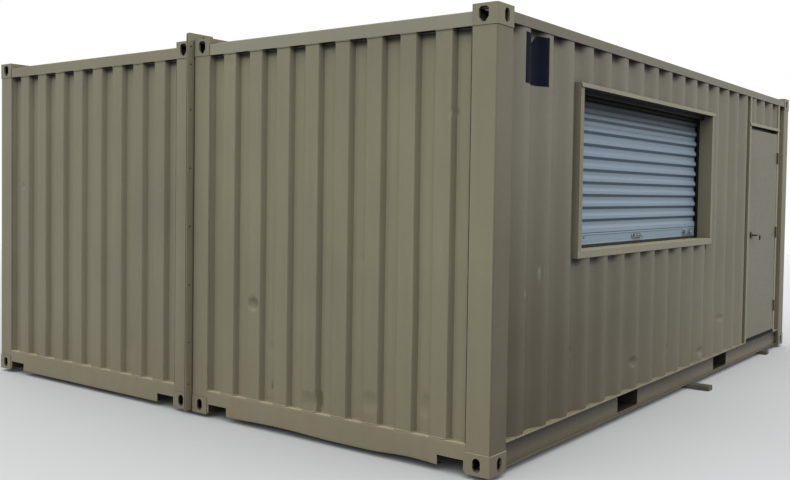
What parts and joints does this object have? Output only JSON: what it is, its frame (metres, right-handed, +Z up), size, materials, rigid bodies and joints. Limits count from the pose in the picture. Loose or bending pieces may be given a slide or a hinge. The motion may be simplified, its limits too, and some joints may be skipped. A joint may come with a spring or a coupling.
{
  "type": "double-wide container building",
  "caption": "Khaki steel site building of joined freight containers, with corrugated walls, a roller shutter hatch, a hinged personnel door and cargo doors at the far end.",
  "frame": {"origin": "on the ground, in the middle of the building's footprint", "axes": "+X along the units from the blind ends to the cargo doors, +Y from the shutter wall to the rear wall, +Z up"},
  "size_m": [6.154, 5.194, 2.662],
  "materials": {
    "khaki_paint": "satin khaki enamel, weathered and scuffed",
    "rail_paint": "satin khaki enamel, dirty near the ground",
    "curtain_paint": "light grey baked enamel",
    "galvanised_steel": "dull galvanised steel",
    "dark_metal": "dark bronzed metal",
    "joint_rubber": "black sealing strip",
    "floor_plywood": "worn marine plywood",
    "bearer_timber": "weathered grey softwood"
  },
  "bodies": {
    "building": {"front_unit_castings": "khaki_paint", "rear_unit_castings": "khaki_paint", "front_unit_posts": "khaki_paint", "rear_unit_posts": "khaki_paint", "front_unit_top_rails": "khaki_paint", "rear_unit_top_rails": "khaki_paint", "front_unit_end_sills": "khaki_paint", "rear_unit_end_sills": "khaki_paint", "front_unit_roof": "khaki_paint", "rear_unit_roof": "khaki_paint", "front_unit_end_wall": "khaki_paint", "rear_unit_end_wall": "khaki_paint", "rear_side_wall": "khaki_paint", "front_wall_left": "khaki_paint", "front_wall_under_shutter": "khaki_paint", "front_wall_over_shutter": "khaki_paint", "front_wall_middle": "khaki_paint", "front_wall_over_door": "khaki_paint", "front_wall_right": "khaki_paint", "shutter_jambs": "khaki_paint", "shutter_head": "khaki_paint", "shutter_sill": "khaki_paint", "drip_caps": "khaki_paint", "door_jambs": "khaki_paint", "door_head": "khaki_paint", "front_unit_cargo_doors": "khaki_paint", "rear_unit_cargo_doors": "khaki_paint", "joint_flanges": "khaki_paint", "roof_seam_cap": "khaki_paint", "front_unit_bottom_rails": "rail_paint", "rear_unit_bottom_rails": "rail_paint", "front_unit_underframe": "rail_paint", "rear_unit_underframe": "rail_paint", "shutter_curtain": "curtain_paint", "shutter_bottom_bar": "galvanised_steel", "shutter_coil": "galvanised_steel", "door_hinge_frame_halves": "galvanised_steel", "front_unit_lock_gear": "galvanised_steel", "rear_unit_lock_gear": "galvanised_steel", "front_unit_cargo_hinges": "galvanised_steel", "rear_unit_cargo_hinges": "galvanised_steel", "floor_joint_plate": "galvanised_steel", "shutter_guides": "dark_metal", "door_threshold": "dark_metal", "joint_seals": "joint_rubber", "front_unit_floor": "floor_plywood", "rear_unit_floor": "floor_plywood", "timber_bearers": "bearer_timber"},
    "door": {"door_leaf": "khaki_paint", "door_hinge_leaf_halves": "galvanised_steel", "door_roses": "dark_metal"},
    "lever": {"door_lever": "dark_metal"}
  },
  "joints": [
    {"name": "door_hinge", "type": "hinge", "parent": "building", "child": "door", "pos_m": [2.6305, -2.4485, 1.2], "axis": [0, 0, 1], "range_deg": [0, 115]},
    {"name": "lever_turn", "type": "hinge", "parent": "door", "child": "lever", "pos_m": [1.776, -2.417, 1.219], "axis": [0, 1, 0], "range_deg": [0, 45], "stiffness_Nm_per_rad": 3, "springref_deg": -20.05}
  ]
}
